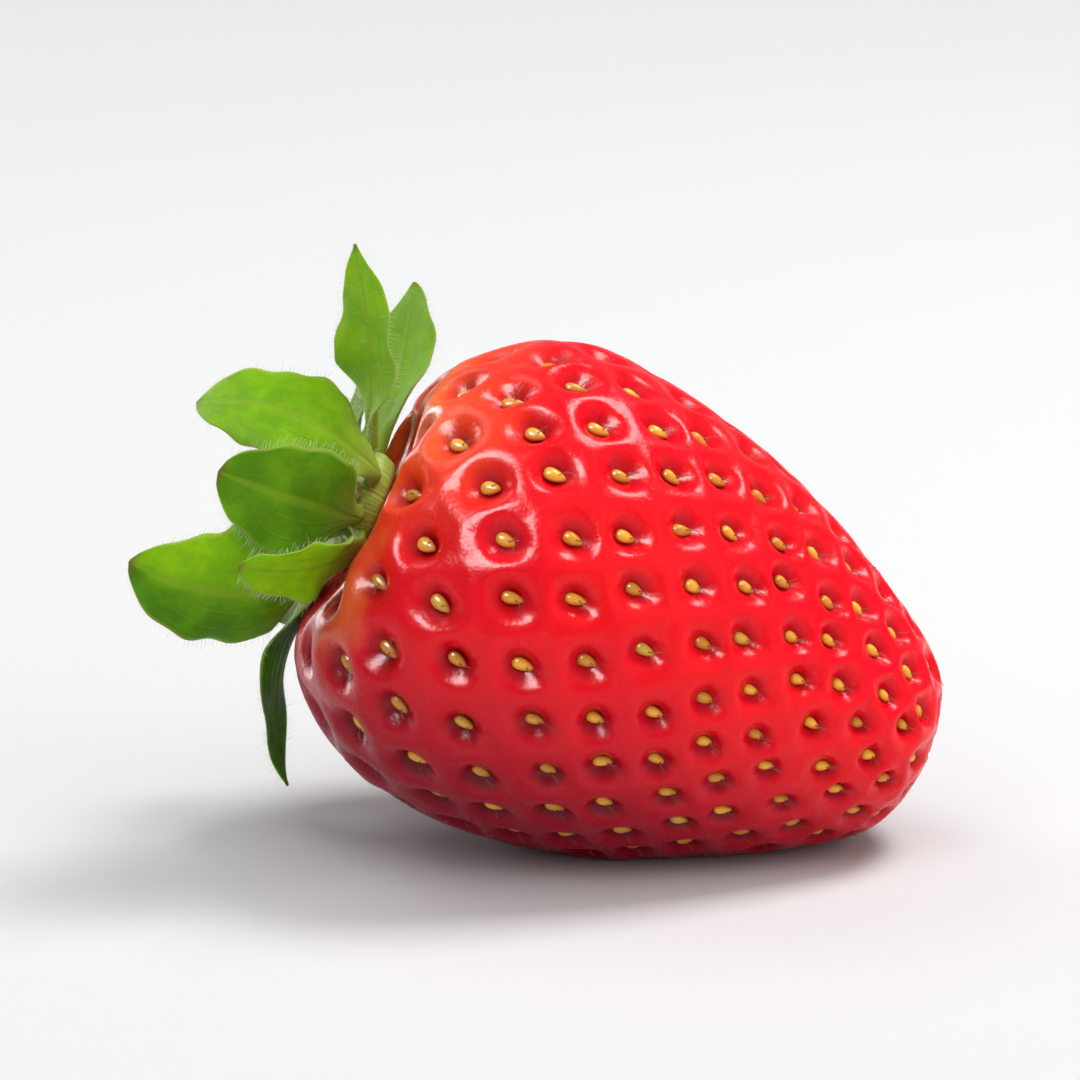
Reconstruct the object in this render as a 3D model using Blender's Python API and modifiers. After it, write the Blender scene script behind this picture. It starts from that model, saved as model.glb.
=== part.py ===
"""A ripe strawberry lying on its side: the fruit with its seeds, the leafy calyx and a cut stem.

The berry is modelled stem up, in its own frame: +Z runs along its axis towards the stem, and z = 0 is
the crown, where the calyx sits. One empty then lays it down on the table, with its tip towards +X, and
puts the middle of the flat spot that it rests on at the origin. Sizes are in metres.
"""

import math
import random
from collections import namedtuple

import bmesh
import bpy
from mathutils import Matrix, Vector

# The fruit.
FRUIT_LENGTH = 0.0400
FRUIT_WIDTH = 0.0320
FRUIT_DEPTH = 0.0306
# Half its outline, as (share of the half width, share of the length below the crown's rim).
OUTLINE = (
    (0.00, 0.020),
    (0.30, 0.020),
    (0.55, 0.000),
    (0.77, 0.047),
    (0.98, 0.180),
    (1.00, 0.370),
    (0.87, 0.590),
    (0.62, 0.810),
    (0.35, 0.960),
    (0.00, 1.000),
)
OUTLINE_STEPS = 2
FRUIT_SIDES = 32
# One shoulder stands higher than the other, and the axis bows towards the side that it lies on.
SHOULDER_TILT = 0.12
AXIS_SAG = 0.0005

# How the fruit lies: its axis tips down towards the tip, and its own weight flattens it a little.
LIE_ANGLE = math.radians(25.0)
REST_SQUASH = 0.0008

# The seeds, which are the true fruits, each in its pit.
SEED_COUNT = 266
SEED_WANDER = 0.00035
SEED_LENGTH = 0.0015
SEED_WIDTH = 0.0010
SEED_HEIGHT = 0.0007
SEED_SINK = 0.0002
PIT_DEPTH = 0.0005
PIT_MARGIN = 0.0005
PIT_SIDES = 5
SEED_SIDES = 5
TIP_CROWDING = 2.9
CROWDING_POWER = 1.6
GOLDEN_ANGLE = math.pi * (3 - math.sqrt(5))

# The calyx and the stem.
FIT_GAP = 0.0003
CALYX_RADIUS = 0.0036
CALYX_MARGIN = 0.0003
CALYX_SIDES = 24
STEM_DIAMETER = 0.0024
STEM_LENGTH = 0.0048
STEM_BEND = 0.0006
LEAF_THICKNESS = 0.0005
LEAF_BASE_WIDTH = 0.0015
LEAF_ROWS = 10
LEAF_COLUMNS = 4

# Angles in degrees. azimuth is round the stem, from the side of the berry that lies uppermost and towards
# +Y; lean and tip_lean are how far the leaf bends back towards the stem at its base and at its tip; fold is
# how far its two halves close towards the stem; twist turns it about its length, over its first part.
# point is 0.5 for a rounded tip and 1 for a sharp one.
Leaf = namedtuple("Leaf", "name azimuth length width lean tip_lean fold twist point")
SEPALS = (
    Leaf("sepal_1", -45, 0.0143, 0.0068, 40, 148, 10, 0, 0.55),
    Leaf("sepal_2", -86, 0.0116, 0.0076, 38, 80, -20, 0, 0.50),
    Leaf("sepal_3", -127, 0.0160, 0.0092, 16, 100, 40, 32, 0.60),
    Leaf("sepal_4", 27, 0.0112, 0.0064, 2, 20, 20, 30, 0.65),
    Leaf("sepal_5", 84, 0.0125, 0.0072, 14, -26, 15, 0, 0.60),
    Leaf("sepal_6", 134, 0.0130, 0.0070, 16, -24, 15, 0, 0.60),
)
BRACTS = (
    Leaf("bract_1", -5, 0.0136, 0.0050, 20, 38, 30, 52, 0.80),
    Leaf("bract_2", -68, 0.0065, 0.0030, 62, 100, 15, 0, 0.80),
    Leaf("bract_3", -104, 0.0080, 0.0034, 45, 95, 20, 0, 0.60),
    Leaf("bract_5", 60, 0.0095, 0.0030, 22, -4, 15, 0, 0.80),
    Leaf("bract_6", 108, 0.0100, 0.0032, 20, -8, 15, 0, 0.80),
)
# Two more bracts grow in front of the sepals.
FRONT_BRACTS = (
    Leaf("bract_4", 165, 0.0185, 0.0040, 18, -42, 10, 20, 0.90),
    Leaf("bract_7", -109, 0.0112, 0.0048, 12, 68, -20, 0, 0.55),
)
# The leaves' rings, from the fruit up. The calyx base is as high as they need.
RINGS = (FRONT_BRACTS, SEPALS, BRACTS)
RING_STEP = LEAF_THICKNESS + FIT_GAP
CALYX_HEIGHT = len(RINGS) * RING_STEP - FIT_GAP + 2 * CALYX_MARGIN
TWIST_SHARE = 0.4
NECK_SHARE = 0.3


def material(name, colour, roughness):
    """A plain Principled surface."""
    made = bpy.data.materials.new(name)
    made.use_nodes = True
    surface = made.node_tree.nodes["Principled BSDF"]
    surface.inputs["Base Color"].default_value = (*colour, 1.0)
    surface.inputs["Roughness"].default_value = roughness
    surface.inputs["Metallic"].default_value = 0.0
    return made


def add_object(name, data, collection, parent=None, surface=None):
    """A named object in a collection, with its parent and its material."""
    made = bpy.data.objects.new(name, data)
    collection.objects.link(made)
    made.parent = parent
    if surface:
        data.materials.append(surface)
    return made


def mesh_from(name, bm, smooth=True):
    """The mesh that a bmesh holds, which it frees."""
    mesh = bpy.data.meshes.new(name)
    bmesh.ops.recalc_face_normals(bm, faces=bm.faces)
    bm.to_mesh(mesh)
    bm.free()
    if smooth:
        mesh.shade_smooth()
    return mesh


def curve_through(points, steps):
    """Points on a Catmull-Rom curve through the given ones, with that many steps between each two."""
    ends = [points[0], *points, points[-1]]
    made = []
    for a, b, c, d in zip(ends, ends[1:], ends[2:], ends[3:]):
        for i in range(steps):
            t = i / steps
            made.append(
                tuple(
                    0.5 * (2 * q + (r - p) * t + (2 * p - 5 * q + 4 * r - s) * t**2 + (3 * q - p - 3 * r + s) * t**3)
                    for p, q, r, s in zip(a, b, c, d)
                )
            )
    return [*made, points[-1]]


def fruit_outline(steps):
    """The fruit's half section as (radius, height), from the crown down to the tip."""
    crown = OUTLINE[0][1] * FRUIT_LENGTH
    return [
        (max(share, 0.0) * FRUIT_WIDTH / 2, crown - depth * FRUIT_LENGTH)
        for share, depth in curve_through(OUTLINE, steps)
    ]


def fruit_point(radius, height, azimuth):
    """A point on the skin: the outline turned about the axis, made narrower across, tilted and bent."""
    x = radius * math.cos(azimuth)
    y = radius * math.sin(azimuth) * FRUIT_DEPTH / FRUIT_WIDTH
    below = min(max(-height / FRUIT_LENGTH, 0), 1)
    tilt = SHOULDER_TILT * max(0, 1 - below / 0.4) ** 2 * radius / (FRUIT_WIDTH / 2)
    return Vector((x - AXIS_SAG * math.sin(math.pi * below), y, height - tilt * x))


def lying():
    """The matrix that lays the berry down, rests it on the table and centres its flat spot on the origin."""
    turn = Matrix.Rotation(LIE_ANGLE - math.pi / 2, 4, "Y")
    below = [turn @ fruit_point(radius, height, math.pi) for radius, height in fruit_outline(24)]
    table = min(point.z for point in below) + REST_SQUASH
    spot = [point.x for point in below if point.z < table]
    return Matrix.Translation((-(min(spot) + max(spot)) / 2, 0, -table)) @ turn


def crowding(height):
    """How much more closely the seeds stand at this height than at the crown."""
    return 1 + (TIP_CROWDING - 1) * min(max(-height / FRUIT_LENGTH, 0), 1) ** CROWDING_POWER


def seed_places(laid):
    """(place, normal, down the fruit, size) of each seed: a spiral of golden angles, closer near the tip."""
    outline = fruit_outline(24)
    wander = random.Random(SEED_COUNT)
    share = [0.0]
    for (r0, z0), (r1, z1) in zip(outline, outline[1:]):
        on_skin = r1 > CALYX_RADIUS + SEED_LENGTH or z1 < -FRUIT_LENGTH / 2
        share.append(share[-1] + on_skin * crowding(z1) * (r0 + r1) / 2 * math.hypot(r1 - r0, z1 - z0))
    k = 0
    for i in range(SEED_COUNT):
        wanted = (i + 0.5) / SEED_COUNT * share[-1]
        while share[k + 1] < wanted:
            k += 1
        (r0, z0), (r1, z1) = outline[k], outline[k + 1]
        radius, height = (r0 + r1) / 2, (z0 + z1) / 2
        azimuth = i * GOLDEN_ANGLE
        place = fruit_point(radius, height, azimuth)
        down = (fruit_point(r1, z1, azimuth) - fruit_point(r0, z0, azimuth)).normalized()
        around = fruit_point(radius, height, azimuth + 0.01) - fruit_point(radius, height, azimuth - 0.01)
        normal = around.cross(down).normalized() * -1
        place += (down * wander.uniform(-1, 1) + normal.cross(down) * wander.uniform(-1, 1)) * SEED_WANDER
        size = crowding(height) ** -0.25
        if (laid @ place).z > SEED_LENGTH / 2:
            yield place, normal, down, size


def stood(place, normal, down, depth):
    """A matrix whose Z is the skin's normal and whose X runs down the fruit, sunk by depth into the flesh."""
    across = normal.cross(down)
    turn = Matrix((down, across, normal)).transposed().to_4x4()
    return Matrix.Translation(place - normal * depth) @ turn


def pit_cutters(laid):
    """One mesh of every pit: a cone frustum, open at the skin."""
    bm = bmesh.new()
    for place, normal, down, size in seed_places(laid):
        mouth = SEED_LENGTH / 2 + PIT_MARGIN
        flat = Matrix.Diagonal((size, size * (SEED_WIDTH / 2 + PIT_MARGIN) / mouth, 1, 1))
        bmesh.ops.create_cone(
            bm,
            cap_ends=True,
            segments=PIT_SIDES,
            radius1=mouth - PIT_MARGIN * 0.8,
            radius2=mouth + PIT_MARGIN,
            depth=2 * PIT_DEPTH,
            matrix=stood(place, normal, down, 0) @ flat,
        )
    return mesh_from("pits", bm, smooth=False)


def seed_bodies(laid):
    """One mesh of every seed: a blunt cone set into the floor of its pit."""
    bm = bmesh.new()
    for place, normal, down, size in seed_places(laid):
        shape = Matrix.Diagonal((size, size * SEED_WIDTH / SEED_LENGTH, 1, 1))
        bmesh.ops.create_cone(
            bm,
            cap_ends=True,
            segments=SEED_SIDES,
            radius1=SEED_LENGTH / 2,
            radius2=SEED_LENGTH / 5,
            depth=SEED_HEIGHT,
            matrix=stood(place, normal, down, PIT_DEPTH + SEED_SINK - SEED_HEIGHT / 2) @ shape,
        )
    return mesh_from("seeds", bm, smooth=False)


def cut_or_join(target, operation, other):
    """A Boolean modifier on target."""
    modifier = target.modifiers.new(other.name, "BOOLEAN")
    modifier.operation = operation
    modifier.object = other


def build_fruit(berry, laid, collection, helpers):
    """The fruit: a sphere drawn out to its outline, then pitted, seeded and flattened where it rests."""
    outline = fruit_outline(OUTLINE_STEPS)
    bm = bmesh.new()
    bmesh.ops.create_uvsphere(bm, u_segments=FRUIT_SIDES, v_segments=len(outline) - 1, radius=1)
    for vertex in bm.verts:
        row = round(math.acos(max(-1, min(1, vertex.co.z))) / math.pi * (len(outline) - 1))
        radius, height = outline[row]
        vertex.co = fruit_point(radius, height, math.atan2(vertex.co.y, vertex.co.x))
    mesh = mesh_from("fruit", bm)
    fruit = add_object("fruit", mesh, collection, berry, material("skin", (0.62, 0.006, 0.012), 0.25))
    for operation, mesh in (("DIFFERENCE", pit_cutters(laid)), ("UNION", seed_bodies(laid))):
        cut_or_join(fruit, operation, add_object(mesh.name, mesh, helpers, berry))
    bm = bmesh.new()
    bmesh.ops.create_cube(bm, size=2 * FRUIT_LENGTH)
    table = add_object("table", mesh_from("table", bm, smooth=False), helpers)
    table.location.z = -FRUIT_LENGTH
    cut_or_join(fruit, "DIFFERENCE", table)
    return fruit


def build_calyx_base(berry, collection, surface):
    """The green disc that joins the leaves and the stem to the crown."""
    outline = (
        (0, CALYX_HEIGHT),
        (STEM_DIAMETER / 2, CALYX_HEIGHT),
        (CALYX_RADIUS * 0.9, CALYX_HEIGHT * 0.85),
        (CALYX_RADIUS, CALYX_HEIGHT * 0.5),
        (CALYX_RADIUS * 0.94, 0),
        (0, 0),
    )
    bm = bmesh.new()
    points = [bm.verts.new((radius, 0, height)) for radius, height in outline]
    for above, below in zip(points, points[1:]):
        bm.edges.new((above, below))
    mesh = bpy.data.meshes.new("calyx_base")
    bm.to_mesh(mesh)
    bm.free()
    base = add_object("calyx_base", mesh, collection, berry, surface)
    base.location.z = FIT_GAP
    turned = base.modifiers.new("turned", "SCREW")
    turned.steps = turned.render_steps = CALYX_SIDES
    turned.use_merge_vertices = True
    turned.merge_threshold = 1e-5


def build_stem(berry, collection, surface):
    """The cut end of the stem, bending a little as it leaves the calyx."""
    curve = bpy.data.curves.new("stem", "CURVE")
    curve.dimensions = "3D"
    curve.bevel_depth = STEM_DIAMETER / 2
    curve.bevel_resolution = 2
    curve.use_fill_caps = True
    spline = curve.splines.new("POLY")
    steps = 5
    spline.points.add(steps)
    foot = CALYX_HEIGHT + 2 * FIT_GAP
    for i, point in enumerate(spline.points):
        share = i / steps
        point.co = (STEM_BEND * share**2, 0, foot + STEM_LENGTH * share, 1)
    add_object("stem", curve, collection, berry, surface)


def leaf_width(leaf, s):
    """The leaf's half width at s, from 0 at its base to 1 at its tip."""
    blade = math.sin(math.pi * min(1, s**0.85)) ** leaf.point * min(1, s / NECK_SHARE) ** 0.7 * leaf.width / 2
    neck = LEAF_BASE_WIDTH / 2 * (1 - s) ** 0.7
    return max(math.hypot(blade, neck), LEAF_THICKNESS / 2)


def leaf_frames(leaf, start_height, rows):
    """(middle, across, up) of the leaf at each row, in the berry's frame."""
    azimuth = math.radians(leaf.azimuth)
    out = Vector((math.cos(azimuth), math.sin(azimuth), 0))
    side = Vector((-math.sin(azimuth), math.cos(azimuth), 0))
    stemward = Vector((0, 0, 1))
    middle = out * (CALYX_RADIUS + FIT_GAP + LEAF_THICKNESS / 2) + stemward * start_height
    for row in range(rows + 1):
        s = row / rows
        lean = math.radians(leaf.lean + (leaf.tip_lean - leaf.lean) * s)
        twist = math.radians(leaf.twist) * min(1, s / TWIST_SHARE)
        forward = out * math.cos(lean) + stemward * math.sin(lean)
        up = stemward * math.cos(lean) - out * math.sin(lean)
        across = side * math.cos(twist) + up * math.sin(twist)
        yield middle.copy(), across, up * math.cos(twist) - side * math.sin(twist)
        middle += forward * (leaf.length / rows)


def leaf_point(leaf, frame, s, q):
    """A point of the leaf at q across it, from -1 to 1. Its section is an arc that the fold closes."""
    middle, across, up = frame
    width = leaf_width(leaf, s)
    bend = math.radians(leaf.fold) * math.sin(math.pi * min(1, s + 0.1))
    if abs(bend) < 1e-4:
        return middle + across * (width * q)
    return middle + across * (width * math.sin(bend * q) / bend) + up * (width * (1 - math.cos(bend * q)) / bend)


def build_leaf(leaf, start_height, berry, collection, surface):
    """A leaf: a grid bent into the blade's middle surface, then given its thickness."""
    bm = bmesh.new()
    bmesh.ops.create_grid(bm, x_segments=LEAF_COLUMNS, y_segments=LEAF_ROWS, size=1)
    frames = list(leaf_frames(leaf, start_height, LEAF_ROWS))
    for vertex in bm.verts:
        row = round((vertex.co.y + 1) / 2 * LEAF_ROWS)
        vertex.co = leaf_point(leaf, frames[row], row / LEAF_ROWS, vertex.co.x)
    made = add_object(leaf.name, mesh_from(leaf.name, bm), collection, berry, surface)
    thick = made.modifiers.new("thick", "SOLIDIFY")
    thick.thickness = LEAF_THICKNESS
    thick.offset = 0


def main():
    for old in list(bpy.data.objects):
        bpy.data.objects.remove(old, do_unlink=True)
    collection = bpy.data.collections.new("strawberry")
    helpers = bpy.data.collections.new("cutters")
    for group in (collection, helpers):
        bpy.context.scene.collection.children.link(group)
    laid = lying()
    berry = add_object("berry", None, collection)
    berry.matrix_world = laid
    build_fruit(berry, laid, collection, helpers)
    leaf_green = material("leaf", (0.10, 0.30, 0.015), 0.5)
    stem_green = material("stem", (0.22, 0.36, 0.05), 0.5)
    build_calyx_base(berry, collection, stem_green)
    build_stem(berry, collection, stem_green)
    for ring, leaves in enumerate(RINGS):
        height = FIT_GAP + CALYX_MARGIN + LEAF_THICKNESS / 2 + ring * RING_STEP
        for leaf in leaves:
            build_leaf(leaf, height, berry, collection, leaf_green)
    for helper in helpers.objects:
        helper.hide_render = True
        helper.display_type = "WIRE"


main()
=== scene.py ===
"""The looks of the strawberry: a finely pitted skin, its seeds, and a downy calyx and stem.

The berry is modelled stem up in its own frame, as in the CAD model: +Z runs along its axis towards the
stem, and z = 0 is the crown. laid() turns it into the frame that it lies in. Sizes are in metres.
"""

import math
import random
from collections import namedtuple

import bpy
import numpy as np
from mathutils import Matrix, Vector


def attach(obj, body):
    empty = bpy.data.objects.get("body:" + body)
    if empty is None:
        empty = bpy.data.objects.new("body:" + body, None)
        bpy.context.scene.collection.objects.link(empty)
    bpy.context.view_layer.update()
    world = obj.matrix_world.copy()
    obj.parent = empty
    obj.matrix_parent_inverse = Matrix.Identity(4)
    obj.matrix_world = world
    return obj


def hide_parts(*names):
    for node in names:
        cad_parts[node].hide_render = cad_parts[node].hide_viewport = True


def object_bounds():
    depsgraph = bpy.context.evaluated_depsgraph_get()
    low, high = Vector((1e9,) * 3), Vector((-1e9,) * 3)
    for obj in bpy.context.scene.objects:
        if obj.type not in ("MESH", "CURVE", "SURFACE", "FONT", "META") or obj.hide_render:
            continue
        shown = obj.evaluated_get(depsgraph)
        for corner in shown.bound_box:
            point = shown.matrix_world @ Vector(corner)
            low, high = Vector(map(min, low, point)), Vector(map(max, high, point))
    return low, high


# The fruit, as the CAD model has it.
FRUIT_LENGTH = 0.0400
FRUIT_WIDTH = 0.0320
FRUIT_DEPTH = 0.0306
OUTLINE = (
    (0.00, 0.020),
    (0.30, 0.020),
    (0.55, 0.000),
    (0.77, 0.047),
    (0.98, 0.180),
    (1.00, 0.370),
    (0.87, 0.590),
    (0.62, 0.810),
    (0.35, 0.960),
    (0.00, 1.000),
)
SHOULDER_TILT = 0.12
AXIS_SAG = 0.0005
LIE_ANGLE = math.radians(25.0)
REST_SQUASH = 0.0008
SEED_COUNT = 266
SEED_WANDER = 0.00035
TIP_CROWDING = 2.9
CROWDING_POWER = 1.6
GOLDEN_ANGLE = math.pi * (3 - math.sqrt(5))
OUTLINE_STEPS = 24
SEED_LENGTH = 0.0015
SEED_WIDTH = 0.0010
SEED_HEIGHT = 0.0007

# The skin's own detail.
SKIN_ROWS = 215
SKIN_SIDES = 400
PIT_LENGTH = 0.0044
PIT_WIDTH = 0.0038
PIT_DEPTH = 0.00105
PIT_NARROWING = 0.16
RIDGE_HEIGHT = 0.00016
LUMP_SIZE = 0.012
LUMP_HEIGHT = 0.00012
# A seed further off than this has no part in the skin's shape. Ridges fade out well before it.
SEED_REACH = 0.0052
RIDGE_FADE = (0.0032, 0.0048)
FAR = 9.0
STYLE_LENGTHS = (0.0006, 0.0011)
STYLE_RADII = (0.000045, 0.00004, 0.000033, 0.00002)

# The calyx and the stem, as the CAD model has them.
FIT_GAP = 0.0003
CALYX_RADIUS = 0.0036
CALYX_MARGIN = 0.0003
STEM_DIAMETER = 0.0024
STEM_LENGTH = 0.0048
STEM_BEND = 0.0006
LEAF_THICKNESS = 0.0005
LEAF_BASE_WIDTH = 0.0015
TWIST_SHARE = 0.4
NECK_SHARE = 0.3
Leaf = namedtuple("Leaf", "name azimuth length width lean tip_lean fold twist point")
SEPALS = (
    Leaf("sepal_1", -45, 0.0143, 0.0068, 40, 148, 10, 0, 0.55),
    Leaf("sepal_2", -86, 0.0116, 0.0076, 38, 80, -20, 0, 0.50),
    Leaf("sepal_3", -127, 0.0160, 0.0092, 16, 100, 40, 32, 0.60),
    Leaf("sepal_4", 27, 0.0112, 0.0064, 2, 20, 20, 30, 0.65),
    Leaf("sepal_5", 84, 0.0125, 0.0072, 14, -26, 15, 0, 0.60),
    Leaf("sepal_6", 134, 0.0130, 0.0070, 16, -24, 15, 0, 0.60),
)
BRACTS = (
    Leaf("bract_1", -5, 0.0136, 0.0050, 20, 38, 30, 52, 0.80),
    Leaf("bract_2", -68, 0.0065, 0.0030, 62, 100, 15, 0, 0.80),
    Leaf("bract_3", -104, 0.0080, 0.0034, 45, 95, 20, 0, 0.60),
    Leaf("bract_5", 60, 0.0095, 0.0030, 22, -4, 15, 0, 0.80),
    Leaf("bract_6", 108, 0.0100, 0.0032, 20, -8, 15, 0, 0.80),
)
FRONT_BRACTS = (
    Leaf("bract_4", 165, 0.0185, 0.0040, 18, -42, 10, 20, 0.90),
    Leaf("bract_7", -109, 0.0112, 0.0048, 12, 68, -20, 0, 0.55),
)
RINGS = (FRONT_BRACTS, SEPALS, BRACTS)
RING_STEP = LEAF_THICKNESS + FIT_GAP
CALYX_HEIGHT = len(RINGS) * RING_STEP - FIT_GAP + 2 * CALYX_MARGIN
# How yellow each leaf is, from 0 for deep green to 1 for yellow-green.
YELLOWNESS = {
    "sepal_1": 0.68,
    "sepal_2": 0.34,
    "sepal_3": 0.66,
    "sepal_4": 0.9,
    "bract_1": 1.0,
    "bract_3": 0.70,
    "bract_4": 0.05,
    "bract_7": 1.0,
}
# How much yellower one half of a folded leaf is painted than on average, the other half greener: painted
# light on one side of the midrib and painted shade on the other.
FOLD_LIGHT_AND_SHADE = {"sepal_3": 0.45}
LEAF_ROWS = 56
LEAF_COLUMNS = 22
BLADE_THICKNESS = 0.00042
NECK_THICKENING = 0.0003
LEAST_HALF_WIDTH = 0.00012
RIPPLE_HEIGHT = 0.00034
MIDRIB_DEPTH = 0.00016
VEIN_DEPTH = 0.00005
# How deep a leaf's neck and the stem's foot enter the calyx.
ROOT_DEPTH = 0.0009
STEM_ROOT_DEPTH = 0.0006
HAIR_LENGTH = 0.0007
HAIR_THICKNESS = 0.00003
HAIR_ROOT_DEPTH = 0.00006
# The share of a leaf's length that has hairs.
HAIRY_SHARE = (0.06, 0.97)


# The studio. A light's place is from the middle of the berry, which it faces; power is in watts.
FLOOR_HALF = 8.0
FLOOR_DROP = 0.00002
WORLD_COLOUR = (0.93, 0.96, 1.0, 1.0)
WORLD_STRENGTH = 0.30
SKY_STRENGTH = 1.05
SKY_ANGLE = math.radians(60)
SKY_FROM = (0.10, -0.25, 0.95)
KEY_PLACE = (-0.21, -0.28, 0.37)
Light = namedtuple("Light", "name place size power lights_surfaces is_reflected")
LIGHTS = (
    Light("front", (0.72, -0.50, 0.28), (0.90, 0.90), 3.6, True, False),
    Light("key", KEY_PLACE, (0.28, 0.22), 6.0, False, True),
    Light("fill", KEY_PLACE, (0.26, 0.20), 0.65, True, False),
    Light("strip", (0.22, 0.10, 0.42), (0.18, 0.16), 1.9, True, True),
    Light("rim", (-0.42, 0.28, 0.55), (0.35, 0.30), 1.0, True, True),
    Light("side", (-0.45, 0.36, 0.04), (0.50, 0.34), 4.5, False, True),
)
CAMERA_DISTANCE = 0.60
CAMERA_ELEVATION = math.radians(15)
CAMERA_FIELD = 0.070
SENSOR_WIDTH = 36.0


# ---------------------------------------------------------------------------------------------------
# The shapes that the CAD model sets


def curve_through(points, steps):
    """Points on a Catmull-Rom curve through the given ones, with that many steps between each two."""
    ends = [points[0], *points, points[-1]]
    made = []
    for a, b, c, d in zip(ends, ends[1:], ends[2:], ends[3:]):
        for i in range(steps):
            t = i / steps
            made.append(
                tuple(
                    0.5
                    * (
                        2 * q
                        + (r - p) * t
                        + (2 * p - 5 * q + 4 * r - s) * t**2
                        + (3 * q - p - 3 * r + s) * t**3
                    )
                    for p, q, r, s in zip(a, b, c, d)
                )
            )
    return [*made, points[-1]]


def fruit_outline(steps):
    """The fruit's half section as (radius, height), from the crown down to the tip."""
    crown = OUTLINE[0][1] * FRUIT_LENGTH
    return [
        (max(share, 0.0) * FRUIT_WIDTH / 2, crown - depth * FRUIT_LENGTH)
        for share, depth in curve_through(OUTLINE, steps)
    ]


def fruit_points(radius, height, azimuth):
    """Points on the smooth skin, from arrays or numbers."""
    x = radius * np.cos(azimuth)
    y = radius * np.sin(azimuth) * FRUIT_DEPTH / FRUIT_WIDTH
    below = np.clip(-height / FRUIT_LENGTH, 0, 1)
    tilt = SHOULDER_TILT * np.maximum(0, 1 - below / 0.4) ** 2 * radius / (FRUIT_WIDTH / 2)
    x_sagged = x - AXIS_SAG * np.sin(np.pi * below)
    return np.stack(np.broadcast_arrays(x_sagged, y, height - tilt * x), axis=-1)


def laid():
    """The matrix that lays the berry down, rests it on the table and centres its flat spot on the origin."""
    turn = Matrix.Rotation(LIE_ANGLE - math.pi / 2, 4, "Y")
    outline = fruit_outline(OUTLINE_STEPS)
    below = [turn @ Vector(fruit_points(radius, height, math.pi)) for radius, height in outline]
    table = min(point.z for point in below) + REST_SQUASH
    spot = [point.x for point in below if point.z < table]
    return Matrix.Translation((-(min(spot) + max(spot)) / 2, 0, -table)) @ turn


def crowding(height):
    """How much more closely the seeds stand at this height than at the crown."""
    return 1 + (TIP_CROWDING - 1) * min(max(-height / FRUIT_LENGTH, 0), 1) ** CROWDING_POWER


def seed_places(lie):
    """(place, normal, down the fruit, size) of each seed: a spiral of golden angles, closer near the tip."""
    outline = fruit_outline(OUTLINE_STEPS)
    wander = random.Random(SEED_COUNT)
    share = [0.0]
    for (r0, z0), (r1, z1) in zip(outline, outline[1:]):
        # Seeds keep clear of the calyx, and run on to the tip.
        on_skin = r1 > CALYX_RADIUS + SEED_LENGTH or z1 < -FRUIT_LENGTH / 2
        share.append(share[-1] + on_skin * crowding(z1) * (r0 + r1) / 2 * math.hypot(r1 - r0, z1 - z0))
    k = 0
    for i in range(SEED_COUNT):
        wanted = (i + 0.5) / SEED_COUNT * share[-1]
        while share[k + 1] < wanted:
            k += 1
        (r0, z0), (r1, z1) = outline[k], outline[k + 1]
        radius, height, azimuth = (r0 + r1) / 2, (z0 + z1) / 2, i * GOLDEN_ANGLE
        place = Vector(fruit_points(radius, height, azimuth))
        down = Vector(fruit_points(r1, z1, azimuth) - fruit_points(r0, z0, azimuth)).normalized()
        around = fruit_points(radius, height, azimuth + 0.01) - fruit_points(radius, height, azimuth - 0.01)
        normal = Vector(around).cross(down).normalized() * -1
        place += (down * wander.uniform(-1, 1) + normal.cross(down) * wander.uniform(-1, 1)) * SEED_WANDER
        if (lie @ place).z > SEED_LENGTH / 2:
            yield place, normal, down, crowding(height) ** -0.25


# ---------------------------------------------------------------------------------------------------
# Tools


def smooth(low, high, value):
    """0 up to low, 1 from high, and a smooth rise between."""
    t = np.clip((value - low) / (high - low), 0, 1)
    return t * t * (3 - 2 * t)


def mesh_object(name, points, faces, lie, attributes=None):
    """An object from points in the berry's frame, with a number for each point in each named attribute."""
    mesh = bpy.data.meshes.new(name)
    turned = np.asarray(points) @ np.array(lie.to_3x3()).T + np.array(lie.translation)
    mesh.from_pydata(turned.tolist(), [], faces)
    mesh.shade_smooth()
    for label, values in (attributes or {}).items():
        layer = mesh.attributes.new(label, "FLOAT", "POINT")
        layer.data.foreach_set("value", np.asarray(values, np.float32))
    made = bpy.data.objects.new(name, mesh)
    bpy.context.scene.collection.objects.link(made)
    return made


def grid_faces(rows, columns, start=0, wrap=False):
    """Quads of a grid of rows + 1 by columns points (plus one, unless it wraps round)."""
    across = columns if wrap else columns + 1
    faces = []
    for r in range(rows):
        for c in range(columns):
            a, b = start + r * across + c, start + r * across + (c + 1) % across
            faces.append((a, b, b + across, a + across))
    return faces


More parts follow.
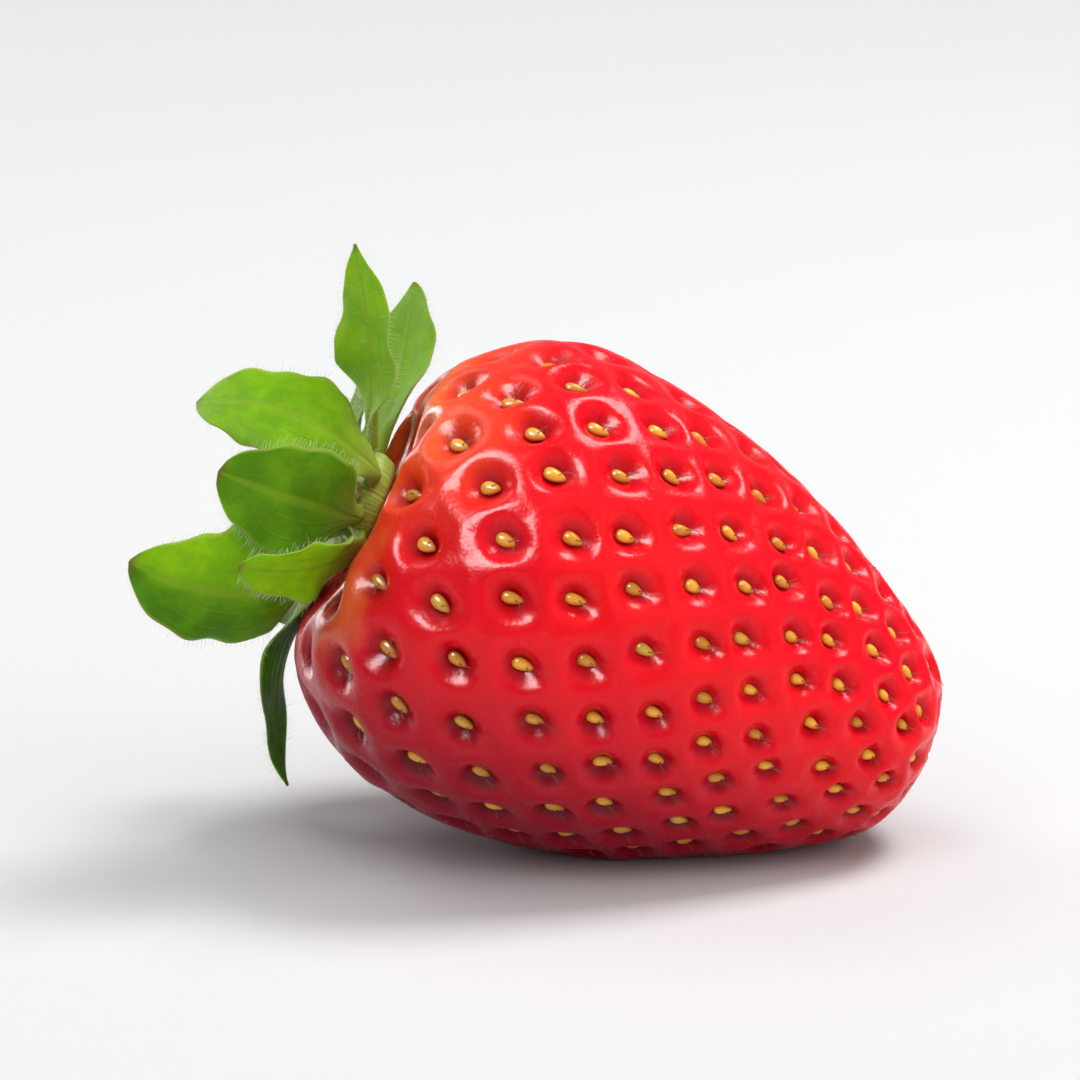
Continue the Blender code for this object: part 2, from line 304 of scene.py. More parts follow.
class Nodes:
    """Short calls for building a material's nodes."""

    def __init__(self, name):
        self.material = bpy.data.materials.new(name)
        self.material.use_nodes = True
        self.tree = self.material.node_tree
        self.surface = self.tree.nodes["Principled BSDF"]

    def put(self, socket, value):
        if isinstance(value, bpy.types.NodeSocket):
            self.tree.links.new(value, socket)
        else:
            socket.default_value = value

    def add(self, kind, inputs=None, output=0, **settings):
        node = self.tree.nodes.new(kind)
        for key, value in settings.items():
            setattr(node, key, value)
        for key, value in (inputs or {}).items():
            self.put(node.inputs[key], value)
        return node.outputs[output]

    def attribute(self, name):
        return self.add("ShaderNodeAttribute", output="Fac", attribute_name=name)

    def math(self, operation, a, b=0.0, clamp=False):
        """Two numbers' sum, product or the like."""
        return self.add("ShaderNodeMath", {0: a, 1: b}, operation=operation, use_clamp=clamp)

    def noise(self, scale, detail=4.0, roughness=0.5):
        place = self.add("ShaderNodeTexCoord", output="Object")
        inputs = {"Vector": place, "Scale": scale, "Detail": detail, "Roughness": roughness}
        return self.add("ShaderNodeTexNoise", inputs)

    def between(self, value, low, high):
        """value's place between low and high, from 0 to 1."""
        inputs = {"Value": value, "From Min": low, "From Max": high}
        return self.add("ShaderNodeMapRange", inputs, interpolation_type="SMOOTHSTEP")

    def mix(self, share, a, b, blend="MIX"):
        node = self.tree.nodes.new("ShaderNodeMix")
        node.data_type = "RGBA"
        node.blend_type = blend
        colour_a, colour_b = [s for s in node.inputs if s.type == "RGBA"]
        self.put(node.inputs["Factor"], share)
        self.put(colour_a, a if isinstance(a, bpy.types.NodeSocket) else (*a, 1.0))
        self.put(colour_b, b if isinstance(b, bpy.types.NodeSocket) else (*b, 1.0))
        return next(s for s in node.outputs if s.type == "RGBA")

    def set(self, **inputs):
        for key, value in inputs.items():
            self.put(self.surface.inputs[key.replace("_", " ")], value)

    def bump(self, height, distance):
        inputs = {"Height": height, "Distance": distance, "Strength": 1.0}
        self.set(Normal=self.add("ShaderNodeBump", inputs))


# ---------------------------------------------------------------------------------------------------
# The fruit and its seeds


def skin_sampling(rows):
    """(radius, height) at even steps down the outline."""
    outline = np.array(fruit_outline(OUTLINE_STEPS))
    gone = np.concatenate(([0], np.cumsum(np.hypot(*np.diff(outline, axis=0).T))))
    steps = np.linspace(0, gone[-1], rows + 1)
    return np.interp(steps, gone, outline[:, 0]), np.interp(steps, gone, outline[:, 1])


def lumps(points, seed, size, height):
    """A slow unevenness: a few waves in chosen directions."""
    rng = np.random.default_rng(seed)
    total = np.zeros(len(points))
    for _ in range(7):
        way = rng.normal(size=3)
        way *= 2 * math.pi / (size * rng.uniform(0.7, 1.6) * np.linalg.norm(way))
        total += np.sin(points @ way + rng.uniform(0, 2 * math.pi))
    return total * height / 7**0.5


def build_skin(lie, seeds):
    """The fruit's skin: the smooth shape, sunk round every seed. Returns the object."""
    radius, height = skin_sampling(SKIN_ROWS)
    azimuth = np.arange(SKIN_SIDES) * 2 * math.pi / SKIN_SIDES
    inner = fruit_points(radius[1:-1, None], height[1:-1, None], azimuth[None, :])
    down = np.gradient(inner, axis=0)
    around = np.roll(inner, -1, axis=1) - np.roll(inner, 1, axis=1)
    normal = np.cross(down, around)
    normal /= np.linalg.norm(normal, axis=2, keepdims=True)
    crown = fruit_points(radius[0], height[0], 0.0)
    tip = fruit_points(radius[-1], height[-1], 0.0)
    points = np.concatenate(([crown], inner.reshape(-1, 3), [tip]))
    normals = np.concatenate(([[0, 0, 1]], normal.reshape(-1, 3), [[0, 0, -1]]))

    # nearest and following are how far each point is from its two nearest seeds, for seeds of full size.
    # oval is 1 on the edge of the nearest seed's pit.
    nearest = np.full(len(points), FAR)
    following = np.full(len(points), FAR)
    oval = np.full(len(points), FAR)
    depths = np.zeros(len(points))
    rng = np.random.default_rng(5)
    for place, out, along, size in seeds:
        near = np.nonzero(((points - np.array(place)) ** 2).sum(1) < SEED_REACH**2)[0]
        away = points[near] - np.array(place)
        a = away @ np.array(along)
        b = away @ np.array(out.cross(along))
        # The pit narrows towards the tip of the fruit, where the seed's point lies.
        narrowing = 1 - PIT_NARROWING * np.clip(a / (PIT_LENGTH / 2 * size), -1, 1)
        long, wide = rng.uniform(0.92, 1.04, 2) * size**2
        q = np.sqrt((a / (PIT_LENGTH / 2 * long)) ** 2 + (b / (PIT_WIDTH / 2 * wide * narrowing)) ** 2)
        depth = PIT_DEPTH * size**1.5 * rng.uniform(0.88, 1.12)
        reach = np.sqrt((away**2).sum(1)) / size**2
        first = reach < nearest[near]
        following[near] = np.where(first, nearest[near], np.minimum(following[near], reach))
        nearest[near] = np.where(first, reach, nearest[near])
        oval[near] = np.where(first, q, oval[near])
        depths[near] = np.where(first, depth, depths[near])
    halfway = 2 * nearest / (nearest + following)
    bound = np.clip(np.maximum(oval, halfway**2), 0, 1)
    pit = 0.68 * (1 - smooth(0.30, 1.0, bound)) + 0.32 * (1 - smooth(0.18, 0.60, oval))
    ridge = smooth(0.55, 1.0, halfway) * (1 - smooth(*RIDGE_FADE, following))
    rise = lumps(points, 3, LUMP_SIZE, LUMP_HEIGHT) - pit * depths + RIDGE_HEIGHT * (ridge - 0.5)
    points = points + normals * rise[:, None]

    # Where it rests, its weight flattens it.
    up = np.array(lie.to_3x3())[2]
    over = points @ up + lie.translation.z
    points = points - np.minimum(over, 0)[:, None] * up

    last = len(points) - 1
    start = last - SKIN_SIDES
    faces = grid_faces(SKIN_ROWS - 2, SKIN_SIDES, start=1, wrap=True)
    faces = [face[::-1] for face in faces]
    faces += [(0, 1 + c, 1 + (c + 1) % SKIN_SIDES) for c in range(SKIN_SIDES)]
    faces += [(last, start + (c + 1) % SKIN_SIDES, start + c) for c in range(SKIN_SIDES)]
    depth = np.clip(-points[:, 2] / FRUIT_LENGTH, 0, 1)
    made = mesh_object("fruit_skin", points, faces, lie, {"pit": pit, "depth": depth, "over": over})
    made.data.materials.append(skin_material())
    return made


def skin_material():
    """Glossy red, orange at the shoulder (on the upper side partly painted light), with painted shade making
    it deeper below and in the pits.
    """
    n = Nodes("strawberry_skin")
    depth, pit, over = n.attribute("depth"), n.attribute("pit"), n.attribute("over")
    patches = n.noise(90.0, 3.0)
    colour = n.mix(n.between(patches, 0.35, 0.7), (0.80, 0.000, 0.010), (0.90, 0.003, 0.008))
    # Orange at the shoulder near the crown: the berry's own paler shoulder, but painted only on its upper
    # side by height above the table, so it is partly painted light.
    edge = n.math("ADD", depth, n.math("MULTIPLY", n.math("SUBTRACT", n.noise(160.0, 4.0), 0.5), 0.16))
    shoulder_orange_and_light = n.math("MULTIPLY", n.math("SUBTRACT", 1.0, n.between(edge, 0.0, 0.16)), 0.5)
    shoulder_orange_and_light = n.math("MULTIPLY", shoulder_orange_and_light, n.between(over, 0.020, 0.031))
    colour = n.mix(shoulder_orange_and_light, colour, (0.96, 0.12, 0.02))
    rim = n.math("SUBTRACT", 1.0, n.between(edge, -0.03, 0.03))
    colour = n.mix(n.math("MULTIPLY", rim, 0.35), colour, (0.90, 0.36, 0.08))
    # Painted shade: low above the table, towards the underside, the red is darkened to deep crimson, and low
    # is this painted shade's mask.
    shade = n.math("ADD", over, n.math("MULTIPLY", depth, 0.013))
    low = n.math("MULTIPLY", n.math("SUBTRACT", 1.0, n.between(shade, 0.008, 0.023)), 0.88)
    colour = n.mix(low, colour, (0.23, 0.000, 0.016))
    # The pits are darker: partly the skin's own deeper red round the seeds, partly painted shade in the
    # hollows, stronger low down with the painted underside shade.
    share = n.math("ADD", n.math("MULTIPLY", low, 0.45), 0.42)
    pitted = n.math("MULTIPLY", n.between(pit, 0.10, 0.65), share)
    colour = n.mix(pitted, colour, n.mix(low, (0.24, 0.000, 0.010), (0.09, 0.000, 0.008)))
    # Painted shade at the bottom of each pit, round its seed, stronger low down.
    share = n.math("ADD", n.math("MULTIPLY", low, 0.50), 0.36)
    pit_floor_shade = n.math("MULTIPLY", n.between(pit, 0.70, 1.0), share)
    colour = n.mix(pit_floor_shade, colour, (0.09, 0.000, 0.004))
    cells = n.noise(4200.0, 2.0)
    n.set(Base_Color=colour, Subsurface_Weight=0.12, Subsurface_Radius=(1.0, 0.05, 0.03))
    n.set(Subsurface_Scale=0.0012, IOR=1.38, Specular_IOR_Level=0.28, Coat_Weight=0.10, Coat_Roughness=0.06)
    n.set(Roughness=n.math("ADD", n.math("MULTIPLY", n.noise(700.0, 3.0), 0.16), 0.20))
    n.bump(n.math("ADD", cells, n.math("MULTIPLY", n.noise(900.0, 2.0), 1.2)), 0.00003)
    return n.material


def seed_shape():
    """(points, faces) of one seed, with its point at +X, 2 by 2 by 2 across."""
    rings, sides = 11, 12
    points = [(-1.0, 0.0, 0.0)]
    for r in range(1, rings):
        t = r / rings
        x = -math.cos(math.pi * t)
        wide = math.sin(math.pi * t) ** 0.85 * (1 - 0.28 * x)
        for c in range(sides):
            turn = 2 * math.pi * c / sides
            z = math.sin(turn)
            # A keel runs along the seed's back.
            keel = 1 + 0.10 * max(0.0, z) ** 12
            points.append((x * (1 + 0.12 * max(0, x) ** 4), wide * math.cos(turn), wide * z * keel))
    points.append((1.14, 0.0, 0.0))
    faces = [(0, 1 + (c + 1) % sides, 1 + c) for c in range(sides)]
    faces += grid_faces(rings - 2, sides, start=1, wrap=True)
    last = len(points) - 1
    faces += [(last, last - sides + c, last - sides + (c + 1) % sides) for c in range(sides)]
    return np.array(points), faces


def tube(path, radii, sides=4):
    """(points, faces) of a thin tapered tube along a path, closed at both ends."""
    path = [Vector(p) for p in path]
    points, faces = [], []
    side = (path[-1] - path[0]).orthogonal().normalized()
    for i, (middle, radius) in enumerate(zip(path, radii)):
        ahead = (path[min(i + 1, len(path) - 1)] - path[max(i - 1, 0)]).normalized()
        across = (side - ahead * side.dot(ahead)).normalized()
        other = ahead.cross(across)
        for c in range(sides):
            turn = 2 * math.pi * c / sides
            points.append(middle + (across * math.cos(turn) + other * math.sin(turn)) * radius)
    for row in range(len(path) - 1):
        for c in range(sides):
            a, b = row * sides + c, row * sides + (c + 1) % sides
            faces.append((a, b, b + sides, a + sides))
    faces.append(tuple(range(sides))[::-1])
    faces.append(tuple(range((len(path) - 1) * sides, len(path) * sides)))
    return points, faces


def build_seeds(lie, seeds):
    """Every seed in its pit, with the dry style that stands on it."""
    shape, shape_faces = seed_shape()
    rng = random.Random(11)
    points, faces, tone, dry, ahead, sunk = [], [], [], [], [], []
    for place, out, along, size in seeds:
        across = out.cross(along)
        skew = Matrix.Rotation(math.radians(rng.gauss(0, 7)), 3, out) @ Matrix.Rotation(
            math.radians(rng.gauss(0, 4)), 3, across
        )
        x, y, z = skew @ along, skew @ across, skew @ out
        grow = rng.uniform(0.90, 1.04)
        length, width = SEED_LENGTH / 2 * size * grow, SEED_WIDTH / 2 * size * rng.uniform(0.80, 0.96)
        middle = place - out * (PIT_DEPTH * size**1.5 - SEED_HEIGHT * 0.02)
        base = len(points)
        own = rng.random()
        for px, py, pz in shape:
            points.append(middle + x * (px * length) + y * (py * width) + z * (pz * SEED_HEIGHT / 2))
            tone.append(own)
            dry.append(0.0)
            ahead.append((px + 1) / 2)
            sunk.append(1 - pz)
        faces += [tuple(base + i for i in face) for face in shape_faces]
        # The style leaves the seed's upper side near its point and leans towards the tip of the fruit.
        foot = middle + x * (length * 0.35) + z * (SEED_HEIGHT * 0.42)
        reach = rng.uniform(*STYLE_LENGTHS) * size
        sway = y * rng.uniform(-0.5, 0.5)
        way = (x * rng.uniform(0.3, 0.9) + z + sway).normalized()
        bent = (x * rng.uniform(0.6, 1.4) + z * 0.5 + sway * 1.6).normalized()
        path = [foot, foot + way * reach * 0.4, foot + way * reach * 0.6 + bent * reach * 0.3]
        path.append(path[-1] + bent * reach * 0.3)
        hair, hair_faces = tube(path, STYLE_RADII)
        base = len(points)
        points += hair
        tone += [own] * len(hair)
        dry += [1.0] * len(hair)
        ahead += [1.0] * len(hair)
        sunk += [0.0] * len(hair)
        faces += [tuple(base + i for i in face) for face in hair_faces]
    attributes = {"tone": tone, "dry": dry, "ahead": ahead, "sunk": sunk}
    made = mesh_object("seeds", [tuple(p) for p in points], faces, lie, attributes)
    made.data.materials.append(seed_material())
    return made


def seed_material():
    """Golden seeds, some greener and some browner, with brown styles."""
    n = Nodes("strawberry_seed")
    tone, dry, ahead = n.attribute("tone"), n.attribute("dry"), n.attribute("ahead")
    colour = n.mix(n.between(tone, 0.15, 0.75), (0.64, 0.25, 0.014), (0.96, 0.47, 0.030))
    colour = n.mix(n.math("MULTIPLY", n.between(tone, 0.86, 1.0), 0.5), colour, (0.42, 0.34, 0.05))
    colour = n.mix(n.math("MULTIPLY", n.between(ahead, 0.62, 1.0), 0.35), colour, (0.50, 0.10, 0.02))
    colour = n.mix(n.math("MULTIPLY", n.noise(2600.0, 3.0), 0.3), colour, (0.45, 0.20, 0.03))
    # Painted shade: the sunk underside of each seed, deep in its pit, is darkened to red-brown.
    foot = n.math("MULTIPLY", n.between(n.attribute("sunk"), 0.35, 1.0), 0.8)
    colour = n.mix(foot, colour, (0.36, 0.045, 0.012))
    colour = n.mix(dry, colour, (0.20, 0.055, 0.018))
    n.set(Base_Color=colour, IOR=1.5, Coat_Weight=0.15, Coat_Roughness=0.15)
    n.set(Roughness=n.math("ADD", n.math("MULTIPLY", dry, 0.3), 0.32))
    n.bump(n.noise(5000.0, 3.0), 0.00002)
    return n.material


# ---------------------------------------------------------------------------------------------------
# The leaves


def leaf_width(leaf, s):
    """The leaf's half width at s, from 0 at its base to 1 at its tip."""
    s = max(s, 0.0)
    blade = math.sin(math.pi * min(1, s**0.85)) ** leaf.point * min(1, s / NECK_SHARE) ** 0.7 * leaf.width / 2
    neck = LEAF_BASE_WIDTH / 2 * max(0, 1 - s) ** 0.7
    return math.hypot(blade, neck)


def leaf_frames(leaf, start_height, shares):
    """(middle, across, up) of the leaf at each share of its length. Below 0 it goes straight on inwards."""
    azimuth = math.radians(leaf.azimuth)
    out = Vector((math.cos(azimuth), math.sin(azimuth), 0))
    side = Vector((-math.sin(azimuth), math.cos(azimuth), 0))
    stemward = Vector((0, 0, 1))
    middle = out * (CALYX_RADIUS + FIT_GAP + LEAF_THICKNESS / 2) + stemward * start_height

    def forward(s):
        lean = math.radians(leaf.lean + (leaf.tip_lean - leaf.lean) * s)
        ahead = out * math.cos(lean) + stemward * math.sin(lean)
        return ahead, stemward * math.cos(lean) - out * math.sin(lean)

    last = 0.0
    for s in shares:
        if s <= 0:
            yield middle + out * (s * leaf.length), side, stemward
            continue
        middle = middle + forward((s + last) / 2)[0] * ((s - last) * leaf.length)
        last = s
        up = forward(s)[1]
        twist = math.radians(leaf.twist) * min(1, s / TWIST_SHARE)
        across = side * math.cos(twist) + up * math.sin(twist)
        yield middle, across, up * math.cos(twist) - side * math.sin(twist)


def build_leaf(leaf, start_height, lie, surface):
    """One leaf: a thin blade with a sunk midrib, side veins, a wavy edge and a neck that enters the calyx.

    Returns the object and places for hairs, as (root, way, weight).
    """
    rng = random.Random(leaf.name)
    wave, phase = rng.uniform(1.6, 2.6), rng.uniform(0, 2 * math.pi)
    inward = -ROOT_DEPTH / leaf.length
    shares = [inward, inward / 2, 0.0] + [(r / LEAF_ROWS) for r in range(1, LEAF_ROWS + 1)]
    rows = len(shares) - 1
    upper, lower, along, across_q, hairs = [], [], [], [], []
    for s, (middle, across, up) in zip(shares, leaf_frames(leaf, start_height, shares)):
        width = max(leaf_width(leaf, s), LEAST_HALF_WIDTH)
        clamped = max(s, 0.0)
        body = math.sin(math.pi * min(1, clamped**0.8)) ** 0.5 if clamped > 0 else 0.0
        bend = math.radians(leaf.fold) * math.sin(math.pi * min(1, clamped + 0.1)) or 1e-4
        for column in range(LEAF_COLUMNS + 1):
            q = 2 * column / LEAF_COLUMNS - 1
            edge = 1 + 0.035 * math.sin(2 * math.pi * (clamped * wave * 2.3 + 0.3 * q) + phase) * abs(q)
            point = middle + across * (width * edge * math.sin(bend * q) / bend)
            point += up * (width * (1 - math.cos(bend * q)) / bend)
            ripple = math.sin(2 * math.pi * clamped * wave + phase + (1.3 if q > 0 else 0)) * abs(q) ** 2.5
            point += up * (ripple * RIPPLE_HEIGHT * body)
            rib = math.exp(-((q / 0.085) ** 2)) * (1 - clamped) ** 0.4
            veins = sum(
                math.exp(-(((abs(q) - place * (0.35 + 0.65 * body)) / 0.05) ** 2)) for place in (0.36, 0.68)
            )
            sunk = (rib * MIDRIB_DEPTH + veins * body * VEIN_DEPTH) * min(1, clamped * 8)
            turn = bend * q
            normal = up * math.cos(turn) - across * math.sin(turn)
            half = BLADE_THICKNESS / 2 * (1 - 0.72 * abs(q) ** 3) * (1 - 0.55 * clamped)
            half += NECK_THICKENING * (1 - min(1, clamped * 5)) * (1 - q * q)
            upper.append(point + normal * (half + sunk * 0.9))
            lower.append(point - normal * (half - sunk))
            along.append(clamped)
            across_q.append(q)
            if HAIRY_SHARE[0] < s < HAIRY_SHARE[1]:
                sideways = (across * (1 if q > 0 else -1)).normalized()
                if column in (0, LEAF_COLUMNS):
                    hairs.append((point, (sideways + up * rng.gauss(0, 0.35)).normalized(), 1.0))
                elif rng.random() < 0.035:
                    way = normal + sideways * rng.gauss(0, 0.8)
                    hairs.append((point + normal * half, way.normalized(), 0.7))
    count = len(upper)
    points = [tuple(p) for p in upper + lower]
    outer = [1.0] * count + [0.0] * count
    top = grid_faces(rows, LEAF_COLUMNS)
    faces = top + [tuple(i + count for i in face[::-1]) for face in top]
    wide = LEAF_COLUMNS + 1
    for r in range(rows):
        a, b = r * wide, (r + 1) * wide
        faces.append((a, b, b + count, a + count))
        a, b = r * wide + LEAF_COLUMNS, (r + 1) * wide + LEAF_COLUMNS
        faces.append((b, a, a + count, b + count))
    for c in range(LEAF_COLUMNS):
        faces.append((c + 1, c, c + count, c + 1 + count))
        a = rows * wide + c
        faces.append((a, a + 1, a + 1 + count, a + count))
    # The fold's two halves get painted light and painted shade through the yellow value.
    fold_light_and_shade = FOLD_LIGHT_AND_SHADE.get(leaf.name, 0.0)
    yellow = [YELLOWNESS.get(leaf.name, 0.3) + fold_light_and_shade * math.tanh(4 * q) for q in across_q * 2]
    attributes = {"along": along * 2, "across": across_q * 2, "outer": outer, "yellow": yellow}
    made = mesh_object(leaf.name + "_blade", points, faces, lie, attributes)
    made.data.materials.append(surface)
    return made, hairs


def leaf_material():
    """Fresh green, paler along the ribs, the edge and the outer side, with fine veins."""
    n = Nodes("strawberry_leaf")
    along, across, outer = n.attribute("along"), n.attribute("across"), n.attribute("outer")
    # The yellow value holds each leaf's own tone and, on a folded leaf, painted light and painted shade on
    # its two halves.
    yellow = n.math("ADD", n.attribute("yellow"), 0.0, clamp=True)
    off = n.math("ABSOLUTE", across)
    blotch = n.noise(420.0, 4.0, 0.6)
    colour = n.mix(yellow, (0.07, 0.31, 0.003), (0.42, 0.80, 0.004))
    deeper = n.mix(yellow, (0.035, 0.17, 0.002), (0.28, 0.62, 0.003))
    colour = n.mix(n.between(blotch, 0.38, 0.68), deeper, colour)
    # Veins fan out from the base and meet again at the tip.
    spread = n.math("MULTIPLY", n.math("SINE", n.math("MULTIPLY", along, math.pi)), 0.65)
    fan = n.math("DIVIDE", off, n.math("ADD", spread, 0.35))
    lines = n.math("ABSOLUTE", n.math("SINE", n.math("MULTIPLY", fan, math.pi / 0.34)))
    vein = n.math("SUBTRACT", 1.0, n.between(lines, 0.0, 0.22))
    net = n.add("ShaderNodeTexVoronoi", {"Scale": 1500.0}, output="Distance", feature="DISTANCE_TO_EDGE")
    mesh_lines = n.math("SUBTRACT", 1.0, n.between(net, 0.0, 0.11))
    rib = n.math("SUBTRACT", 1.0, n.between(off, 0.02, 0.13))
    lighter = n.math("MULTIPLY", n.math("MAXIMUM", rib, n.math("MULTIPLY", vein, 0.5)), 0.55)
    colour = n.mix(lighter, colour, (0.37, 0.56, 0.03))
    colour = n.mix(n.math("MULTIPLY", mesh_lines, 0.16), colour, (0.33, 0.52, 0.02))
    foot = n.math("SUBTRACT", 1.0, n.between(along, 0.0, 0.34))
    colour = n.mix(n.math("MULTIPLY", foot, 0.75), colour, (0.46, 0.60, 0.08))
    margin = n.math("MULTIPLY", n.between(off, 0.90, 0.99), 0.55)
    colour = n.mix(margin, colour, (0.55, 0.66, 0.11))
    tip = n.math("MULTIPLY", n.between(along, 0.955, 0.995), 0.7)
    colour = n.mix(tip, colour, (0.30, 0.16, 0.04))
    colour = n.mix(n.math("MULTIPLY", outer, 0.16), colour, (0.40, 0.62, 0.05))
    n.set(Base_Color=colour, Subsurface_Weight=0.25)
    n.set(Subsurface_Radius=(0.5, 1.0, 0.1), Subsurface_Scale=0.0006)
    n.set(IOR=1.42, Specular_IOR_Level=0.16)
    uneven = n.math("ADD", 0.36, n.math("MULTIPLY", blotch, 0.12))
    n.set(Roughness=n.math("ADD", n.math("MULTIPLY", outer, 0.14), uneven))
    relief = n.math("ADD", n.math("MULTIPLY", vein, 0.7), n.math("MULTIPLY", mesh_lines, 0.35))
    n.bump(n.math("SUBTRACT", n.noise(1500.0, 3.0), relief), 0.00006)
    return n.material


def stem_material():
    """Pale yellow-green, streaked along its length, with a woody cut end."""
    n = Nodes("strawberry_stem")
    cut, turn = n.attribute("cut"), n.attribute("turn")
    streaks = n.add("ShaderNodeTexNoise", {"W": turn, "Scale": 9.0, "Detail": 3.0}, noise_dimensions="1D")
    colour = n.mix(n.between(streaks, 0.35, 0.7), (0.26, 0.44, 0.04), (0.48, 0.62, 0.12))
    colour = n.mix(n.math("MULTIPLY", n.noise(800.0, 4.0), 0.14), colour, (0.30, 0.16, 0.06))
    wood = n.mix(n.noise(2500.0, 4.0), (0.42, 0.38, 0.16), (0.24, 0.20, 0.07))
    colour = n.mix(cut, colour, wood)
    n.set(Base_Color=colour, Subsurface_Weight=0.15)
    n.set(Subsurface_Radius=(0.6, 1.0, 0.2), Subsurface_Scale=0.0006)
    n.set(Roughness=n.math("ADD", 0.42, n.math("MULTIPLY", cut, 0.3)), IOR=1.42)
    n.bump(n.math("ADD", streaks, n.noise(2200.0, 3.0)), 0.00006)
    return n.material


def build_calyx_base(lie, surface):
    """The receptacle's green collar, ribbed where each leaf leaves it."""
    sides = 96
    profile = curve_through(
        [
            (0.00, 1.02),
            (STEM_DIAMETER / 2 / CALYX_RADIUS, 1.00),
            (0.66, 0.93),
            (0.90, 0.76),
            (1.00, 0.50),
            (0.97, 0.22),
            (0.80, -0.02),
            (0.00, -0.10),
        ],
        4,
    )
    azimuths = [math.radians(leaf.azimuth) for ring in RINGS for leaf in ring]
    points, turn = [], []
    for share, rise in profile:
        for c in range(sides):
            angle = 2 * math.pi * c / sides
            turned = [(angle - a + math.pi) % (2 * math.pi) - math.pi for a in azimuths]
            rib = sum(math.exp(-(off**2) / 0.03) for off in turned)
            radius = CALYX_RADIUS * max(share, 0) * (1 + 0.05 * min(rib, 1) * share)
            points.append((radius * math.cos(angle), radius * math.sin(angle), FIT_GAP + rise * CALYX_HEIGHT))
            turn.append(c / sides * 12)
    rows = len(profile) - 1
    faces = [face[::-1] for face in grid_faces(rows, sides, wrap=True)]
    made = mesh_object("calyx_collar", points, faces, lie, {"cut": [0.0] * len(points), "turn": turn})
    made.data.materials.append(surface)
    return made


def build_stem(lie, surface):
    """The cut stub of the stem: a ribbed tube, a little swollen at the foot, with a hollowed cut face."""
    sides, rows = 48, 30
    foot = FIT_GAP + CALYX_HEIGHT - STEM_ROOT_DEPTH
    length = STEM_LENGTH + FIT_GAP + STEM_ROOT_DEPTH
    points, cut, turn, hairs = [], [], [], []
    rng = random.Random(2)

    def ring(share, scale, drop, is_cut):
        bent = STEM_BEND * share**2
        for c in range(sides):
            angle = 2 * math.pi * c / sides
            rough = 1 + 0.035 * math.sin(angle * 9) + 0.02 * math.sin(angle * 4 + 1)
            radius = STEM_DIAMETER / 2 * scale * rough
            slant = 0.00025 * math.cos(angle) * (share**8)
            z = foot + length * share + slant - drop
            points.append((bent + radius * math.cos(angle), radius * math.sin(angle), z))
            cut.append(is_cut)
            turn.append(c / sides * 12)
            if not is_cut and share > 0.12 and rng.random() < 0.16:
                way = Vector((math.cos(angle), math.sin(angle), rng.gauss(0.2, 0.4))).normalized()
                hairs.append((Vector(points[-1]), way, 0.9))

    for row in range(rows + 1):
        share = row / rows
        ring(share, 0.94 + 0.35 * (1 - share) ** 6, 0.0, 0.0)
    for scale, drop in ((0.90, 0.00006), (0.78, 0.00018), (0.55, 0.00030), (0.30, 0.00022), (0.001, 0.00016)):
        ring(1.0, scale, drop, 1.0)
    faces = grid_faces(rows + 5, sides, wrap=True)
    faces.append(tuple(range(sides))[::-1])
    made = mesh_object("stem_stub", points, faces, lie, {"cut": cut, "turn": turn})
    made.data.materials.append(surface)
    return made, hairs


def build_down(lie, places):
    """The silky hairs on the leaves' edges and backs and on the stem."""
    rng = random.Random(7)
    points, faces = [], []
    for root, way, weight in places:
        reach = HAIR_LENGTH * weight * rng.uniform(0.5, 1.2)
        droop = Vector((rng.gauss(0, 0.3), rng.gauss(0, 0.3), rng.gauss(0, 0.3)))
        end = root + (way + droop * 0.5).normalized() * reach
        path = [root - way * HAIR_ROOT_DEPTH, root + way * reach * 0.5, end]
        hair, hair_faces = tube(path, (HAIR_THICKNESS / 2, HAIR_THICKNESS / 2.6, HAIR_THICKNESS / 8), sides=3)
        base = len(points)
        points += [tuple(p) for p in hair]
        faces += [tuple(base + i for i in face) for face in hair_faces]
    made = mesh_object("down", points, faces, lie)
    n = Nodes("strawberry_down")
    n.set(Base_Color=(0.75, 0.82, 0.55, 1.0), Roughness=0.4, Subsurface_Weight=0.0)
    made.data.materials.append(n.material)
    return made


# ---------------------------------------------------------------------------------------------------
# The studio


def area_light(light, middle):
    """One of LIGHTS, turned to face the middle."""
    data = bpy.data.lights.new(light.name, "AREA")
    data.shape = "RECTANGLE"
    data.size, data.size_y = light.size
    data.energy = light.power
    made = bpy.data.objects.new(light.name, data)
    made.location = middle + Vector(light.place)
    made.rotation_euler = (-Vector(light.place)).to_track_quat("-Z", "Y").to_euler()
    made.visible_diffuse = light.lights_surfaces
    made.visible_glossy = light.is_reflected
    bpy.context.scene.collection.objects.link(made)


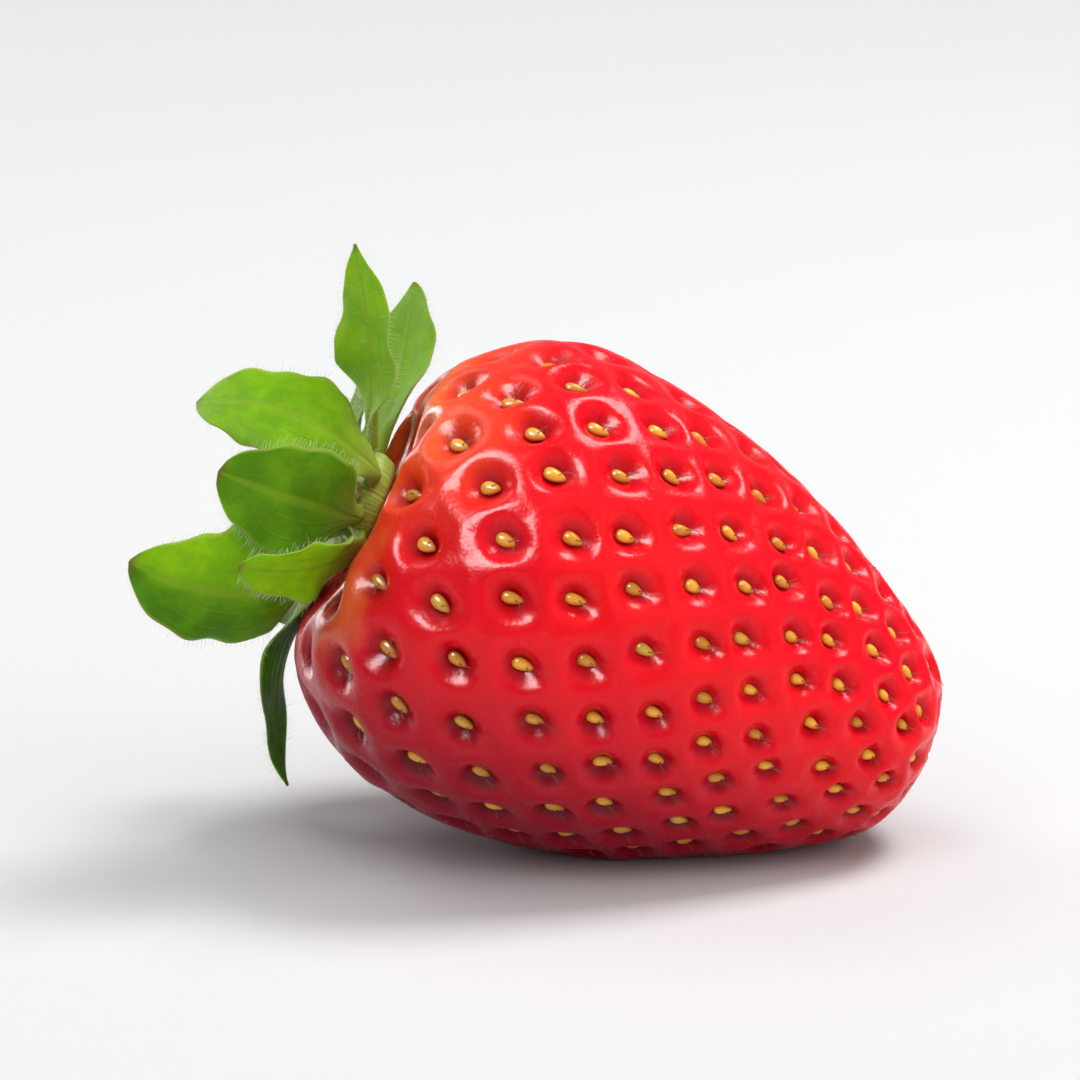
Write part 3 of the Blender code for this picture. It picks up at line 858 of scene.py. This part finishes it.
def build_studio(low, high):
    """The floor, the lights and the camera, set round the box from low to high."""
    middle = (Vector(low) + Vector(high)) / 2
    scene = bpy.context.scene
    scene.view_settings.view_transform = "Standard"

    # The floor lies just under the flat spot, so the two don't share a plane.
    corners = [(x * FLOOR_HALF, y * FLOOR_HALF, -FLOOR_DROP) for x, y in ((-1, -1), (1, -1), (1, 1), (-1, 1))]
    mesh = bpy.data.meshes.new("floor")
    mesh.from_pydata(corners, [], [(0, 1, 2, 3)])
    floor = bpy.data.objects.new("floor", mesh)
    scene.collection.objects.link(floor)
    n = Nodes("floor")
    n.set(Base_Color=(0.60, 0.60, 0.60, 1.0), Roughness=0.75)
    mesh.materials.append(n.material)

    world = bpy.data.worlds.new("studio")
    scene.world = world
    world.use_nodes = True
    background = world.node_tree.nodes["Background"]
    background.inputs["Color"].default_value = WORLD_COLOUR
    background.inputs["Strength"].default_value = WORLD_STRENGTH

    sky = bpy.data.lights.new("sky", "SUN")
    sky.energy, sky.angle = SKY_STRENGTH, SKY_ANGLE
    above = bpy.data.objects.new("sky", sky)
    above.rotation_euler = Vector(SKY_FROM).to_track_quat("Z", "Y").to_euler()
    above.visible_glossy = False
    scene.collection.objects.link(above)
    for light in LIGHTS:
        area_light(light, middle)

    data = bpy.data.cameras.new("camera")
    data.sensor_width = SENSOR_WIDTH
    data.lens = SENSOR_WIDTH * CAMERA_DISTANCE / CAMERA_FIELD
    data.clip_start, data.clip_end = 0.01, 20.0
    camera = bpy.data.objects.new("camera", data)
    away = Vector((0, -math.cos(CAMERA_ELEVATION), math.sin(CAMERA_ELEVATION)))
    camera.location = middle + away * CAMERA_DISTANCE
    camera.rotation_euler = (math.pi / 2 - CAMERA_ELEVATION, 0, 0)
    scene.collection.objects.link(camera)
    scene.camera = camera


# ---------------------------------------------------------------------------------------------------


def main():
    cad_box = [list(corner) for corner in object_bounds()]
    lie = laid()
    seeds = list(seed_places(lie))

    skin = build_skin(lie, seeds)
    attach(skin, "root")
    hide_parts("fruit")
    grains = build_seeds(lie, seeds)
    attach(grains, "root")

    leaf_green, stem_green = leaf_material(), stem_material()
    down = []
    for ring, leaves in enumerate(RINGS):
        height = FIT_GAP + CALYX_MARGIN + LEAF_THICKNESS / 2 + ring * RING_STEP
        for leaf in leaves:
            blade, hairs = build_leaf(leaf, height, lie, leaf_green)
            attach(blade, "root")
            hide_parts(leaf.name)
            down += hairs
    collar = build_calyx_base(lie, stem_green)
    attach(collar, "root")
    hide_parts("calyx_base")
    stub, hairs = build_stem(lie, stem_green)
    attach(stub, "root")
    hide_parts("stem")
    silk = build_down(lie, down + hairs)
    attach(silk, "root")

    build_studio(*cad_box)


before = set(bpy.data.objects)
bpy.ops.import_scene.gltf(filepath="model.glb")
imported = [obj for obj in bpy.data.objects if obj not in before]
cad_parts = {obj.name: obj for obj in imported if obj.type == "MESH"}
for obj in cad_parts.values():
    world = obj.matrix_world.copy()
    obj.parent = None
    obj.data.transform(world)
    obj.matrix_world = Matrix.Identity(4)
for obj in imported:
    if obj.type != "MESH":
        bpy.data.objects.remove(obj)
main()
